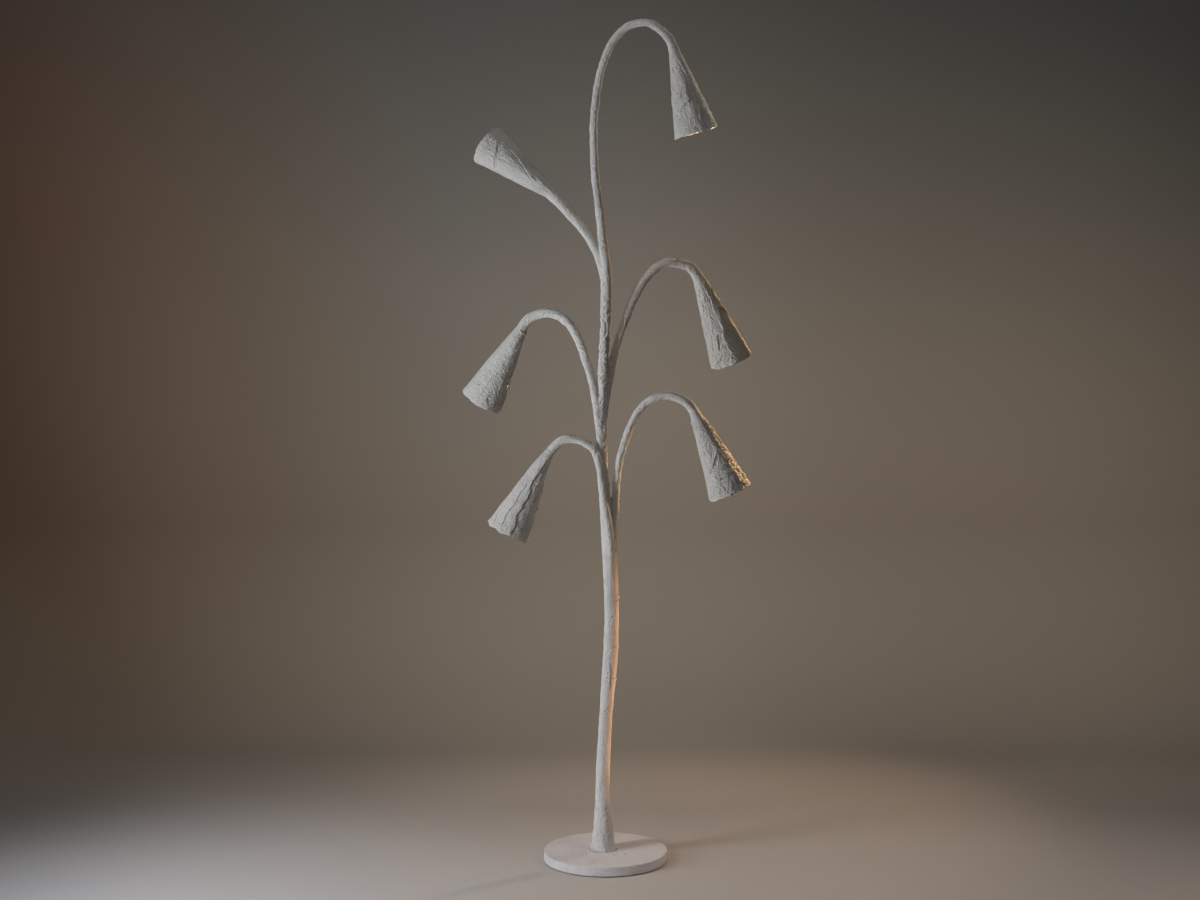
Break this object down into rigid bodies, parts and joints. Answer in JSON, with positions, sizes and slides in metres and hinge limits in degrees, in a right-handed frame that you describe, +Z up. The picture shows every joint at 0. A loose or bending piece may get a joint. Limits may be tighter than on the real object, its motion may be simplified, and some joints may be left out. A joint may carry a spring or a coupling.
{
  "type": "tree floor lamp",
  "caption": "Free-standing floor lamp: a plastered stem branches into hooked arms, each ending in a long plaster cone shade with a screw-in bulb, on a round weighted base.",
  "frame": {"origin": "centre of the base's underside, on the floor", "axes": "+Z up the stem, +X towards the side of the highest arm, -Y the front"},
  "size_m": [0.6449, 0.3178, 1.8808],
  "materials": {
    "plaster": "matte",
    "dark_steel": "matte",
    "screw_steel": "satin",
    "tube_steel": "satin",
    "frame_wire": "satin",
    "felt": "matte",
    "terminal_plastic": "satin",
    "grommet_rubber": "matte",
    "flex": "satin",
    "brass_fittings": "satin",
    "holder_plastic": "satin",
    "bulb_cap_metal": "satin",
    "bulb_glass": "satin"
  },
  "bodies": {
    "stand": {"arm_1_plaster": "plaster", "arm_1_tube": "tube_steel", "arm_2_plaster": "plaster", "arm_2_tube": "tube_steel", "arm_3_plaster": "plaster", "arm_3_tube": "tube_steel", "arm_4_plaster": "plaster", "arm_4_tube": "tube_steel", "arm_5_plaster": "plaster", "arm_5_tube": "tube_steel", "arm_6_plaster": "plaster", "arm_6_tube": "tube_steel", "base_cover_plate": "dark_steel", "base_felt": "felt", "base_plaster": "plaster", "base_weight": "dark_steel", "cord_grommet": "grommet_rubber", "cover_screws": "screw_steel", "flange_screws": "screw_steel", "holder_contacts": "brass_fittings", "holder_locknuts": "brass_fittings", "holder_nipples": "brass_fittings", "lamp_flexes": "flex", "lampholder_1": "holder_plastic", "lampholder_2": "holder_plastic", "lampholder_3": "holder_plastic", "lampholder_4": "holder_plastic", "lampholder_5": "holder_plastic", "lampholder_6": "holder_plastic", "shade_1_frame": "frame_wire", "shade_1_plaster": "plaster", "shade_2_frame": "frame_wire", "shade_2_plaster": "plaster", "shade_3_frame": "frame_wire", "shade_3_plaster": "plaster", "shade_4_frame": "frame_wire", "shade_4_plaster": "plaster", "shade_5_frame": "frame_wire", "shade_5_plaster": "plaster", "shade_6_frame": "frame_wire", "shade_6_plaster": "plaster", "stem_flange": "dark_steel", "terminal_block": "terminal_plastic", "trunk_plaster": "plaster"},
    "bulb_1": {"bulb_1_cap": "bulb_cap_metal", "bulb_1_globe": "bulb_glass"},
    "bulb_2": {"bulb_2_cap": "bulb_cap_metal", "bulb_2_globe": "bulb_glass"},
    "bulb_3": {"bulb_3_cap": "bulb_cap_metal", "bulb_3_globe": "bulb_glass"},
    "bulb_4": {"bulb_4_cap": "bulb_cap_metal", "bulb_4_globe": "bulb_glass"},
    "bulb_5": {"bulb_5_cap": "bulb_cap_metal", "bulb_5_globe": "bulb_glass"},
    "bulb_6": {"bulb_6_cap": "bulb_cap_metal", "bulb_6_globe": "bulb_glass"}
  },
  "joints": [
    {"name": "bulb_1_unscrew", "type": "slide", "parent": "stand", "child": "bulb_1", "axis": [0.2607, -0.0799, -0.9621], "range_m": [0, 0.105]},
    {"name": "bulb_2_unscrew", "type": "slide", "parent": "stand", "child": "bulb_2", "axis": [0.3645, 0.1299, -0.9221], "range_m": [0, 0.105]},
    {"name": "bulb_3_unscrew", "type": "slide", "parent": "stand", "child": "bulb_3", "axis": [0.4046, 0, -0.9145], "range_m": [0, 0.105]},
    {"name": "bulb_4_unscrew", "type": "slide", "parent": "stand", "child": "bulb_4", "axis": [-0.7472, 0.38, 0.5452], "range_m": [0, 0.105]},
    {"name": "bulb_5_unscrew", "type": "slide", "parent": "stand", "child": "bulb_5", "axis": [-0.4712, 0.1999, -0.8591], "range_m": [0, 0.105]},
    {"name": "bulb_6_unscrew", "type": "slide", "parent": "stand", "child": "bulb_6", "axis": [-0.4493, 0.04, -0.8925], "range_m": [0, 0.105]}
  ]
}
